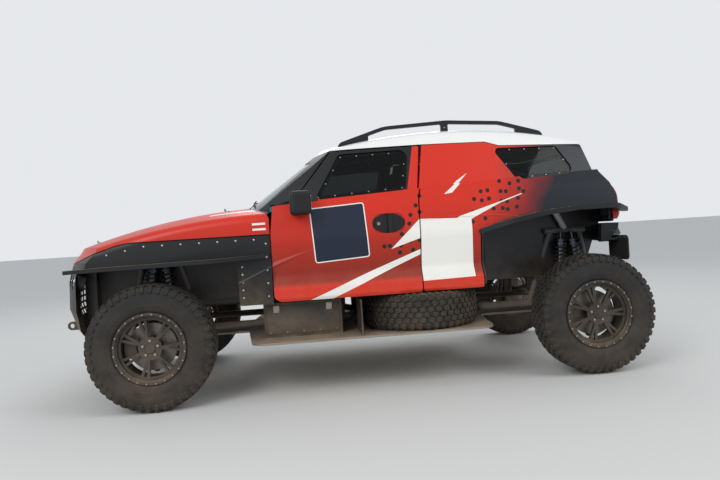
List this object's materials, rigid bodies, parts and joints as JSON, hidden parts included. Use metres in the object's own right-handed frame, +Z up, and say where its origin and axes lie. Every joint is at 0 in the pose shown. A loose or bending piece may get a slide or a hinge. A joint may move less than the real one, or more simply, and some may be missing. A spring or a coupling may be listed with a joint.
{
  "type": "rally raid car",
  "caption": "Two-door rally-raid car with a tube frame, composite panels that open, long-travel arms, and spare wheels lying flat under its sides.",
  "frame": {"origin": "on the ground, midway along and across the car", "axes": "+X to the rear, +Y to the car's right side, +Z up; the nose looks along -X"},
  "size_m": [4.0199, 1.99, 1.7952],
  "materials": {
    "red_panel": "gloss",
    "white_panel": "gloss",
    "carbon": "satin",
    "frame_steel": "satin",
    "bare_alloy": "satin",
    "engine_alloy": "matte",
    "clear_glass": "gloss",
    "lamp_clear": "gloss",
    "lamp_red": "gloss",
    "tyre_rubber": "matte",
    "rim_alloy": "satin",
    "seat_cloth": "matte",
    "rubber": "matte",
    "link_steel": "satin"
  },
  "bodies": {
    "chassis": {"long_rails": "frame_steel", "cross_tubes": "frame_steel", "damper_towers": "frame_steel", "roll_cage": "frame_steel", "underbody_tray": "bare_alloy", "cabin_tub": "carbon", "engine_block": "engine_alloy", "radiator": "engine_alloy", "dashboard": "carbon", "seats": "seat_cloth", "front_bumper": "carbon", "grille": "carbon", "headlamps": "lamp_clear", "front_fenders": "carbon", "windscreen_frame": "carbon", "fixed_glass": "clear_glass", "roof_panel": "white_panel", "roof_rails": "carbon", "side_panels": "red_panel", "rear_flares": "carbon", "rear_bumper": "carbon", "tail_lamps": "lamp_red", "side_boxes": "carbon", "spare_tyres": "tyre_rubber", "spare_rims": "rim_alloy", "mud_flaps": "rubber", "suspension_arms": "link_steel", "dampers": "link_steel", "inner_arches": "carbon"},
    "bonnet": {"bonnet": "red_panel"},
    "tailgate": {"tailgate": "red_panel", "tailgate_glass": "clear_glass"},
    "door_left": {"door_left": "red_panel", "door_glass_left": "clear_glass", "mirror_left": "carbon"},
    "door_right": {"door_right": "red_panel", "door_glass_right": "clear_glass", "mirror_right": "carbon"},
    "steering_wheel": {"steering_wheel": "rubber"},
    "steering_rack": {"steering_rack": "link_steel"},
    "knuckle_front_left": {"knuckle_front_left": "link_steel"},
    "knuckle_front_right": {"knuckle_front_right": "link_steel"},
    "wheel_front_left": {"tyre_front_left": "tyre_rubber", "rim_front_left": "rim_alloy"},
    "wheel_front_right": {"tyre_front_right": "tyre_rubber", "rim_front_right": "rim_alloy"},
    "wheel_rear_left": {"tyre_rear_left": "tyre_rubber", "rim_rear_left": "rim_alloy"},
    "wheel_rear_right": {"tyre_rear_right": "tyre_rubber", "rim_rear_right": "rim_alloy"}
  },
  "joints": [
    {"name": "door_left_hinge", "type": "hinge", "parent": "chassis", "child": "door_left", "pos_m": [-0.582, -0.864, 0.64], "axis": [0, -0.066, -0.9978], "range_deg": [0, 65]},
    {"name": "door_right_hinge", "type": "hinge", "parent": "chassis", "child": "door_right", "pos_m": [-0.582, 0.864, 0.64], "axis": [0, -0.066, 0.9978], "range_deg": [0, 65]},
    {"name": "bonnet_hinge", "type": "hinge", "parent": "chassis", "child": "bonnet", "pos_m": [-1.962, 0, 0.932], "axis": [0, -1, 0], "range_deg": [0, 60]},
    {"name": "tailgate_hinge", "type": "hinge", "parent": "chassis", "child": "tailgate", "pos_m": [1.775, 0, 1.57], "axis": [0, -1, 0], "range_deg": [0, 75]},
    {"name": "steer_left", "type": "hinge", "parent": "chassis", "child": "knuckle_front_left", "pos_m": [-1.3, -0.79, 0.399], "axis": [0, 0, 1], "range_deg": [-30, 30]},
    {"name": "steer_right", "type": "hinge", "parent": "chassis", "child": "knuckle_front_right", "pos_m": [-1.3, 0.79, 0.399], "axis": [0, 0, 1], "range_deg": [-30, 30]},
    {"name": "steering_turn", "type": "hinge", "parent": "chassis", "child": "steering_wheel", "pos_m": [-0.19, -0.37, 1.085], "axis": [0.9135, 0, 0.4067], "range_deg": [-420, 420]},
    {"name": "rack_slide", "type": "slide", "parent": "chassis", "child": "steering_rack", "axis": [0, 1, 0], "range_m": [-0.08, 0.08]},
    {"name": "spin_front_left", "type": "hinge", "parent": "knuckle_front_left", "child": "wheel_front_left", "pos_m": [-1.3, -0.868, 0.399], "axis": [0, 1, 0], "continuous": true},
    {"name": "spin_front_right", "type": "hinge", "parent": "knuckle_front_right", "child": "wheel_front_right", "pos_m": [-1.3, 0.868, 0.399], "axis": [0, 1, 0], "continuous": true},
    {"name": "spin_rear_left", "type": "hinge", "parent": "chassis", "child": "wheel_rear_left", "pos_m": [1.6, -0.868, 0.399], "axis": [0, 1, 0], "continuous": true},
    {"name": "spin_rear_right", "type": "hinge", "parent": "chassis", "child": "wheel_rear_right", "pos_m": [1.6, 0.868, 0.399], "axis": [0, 1, 0], "continuous": true}
  ],
  "couplings": [
    {"joint": "steer_right", "follows": "steer_left", "ratio": 1},
    {"joint": "steering_turn", "follows": "steer_left", "ratio": 14},
    {"joint": "rack_slide", "follows": "steer_left", "m_per_rad": 0.1505}
  ]
}
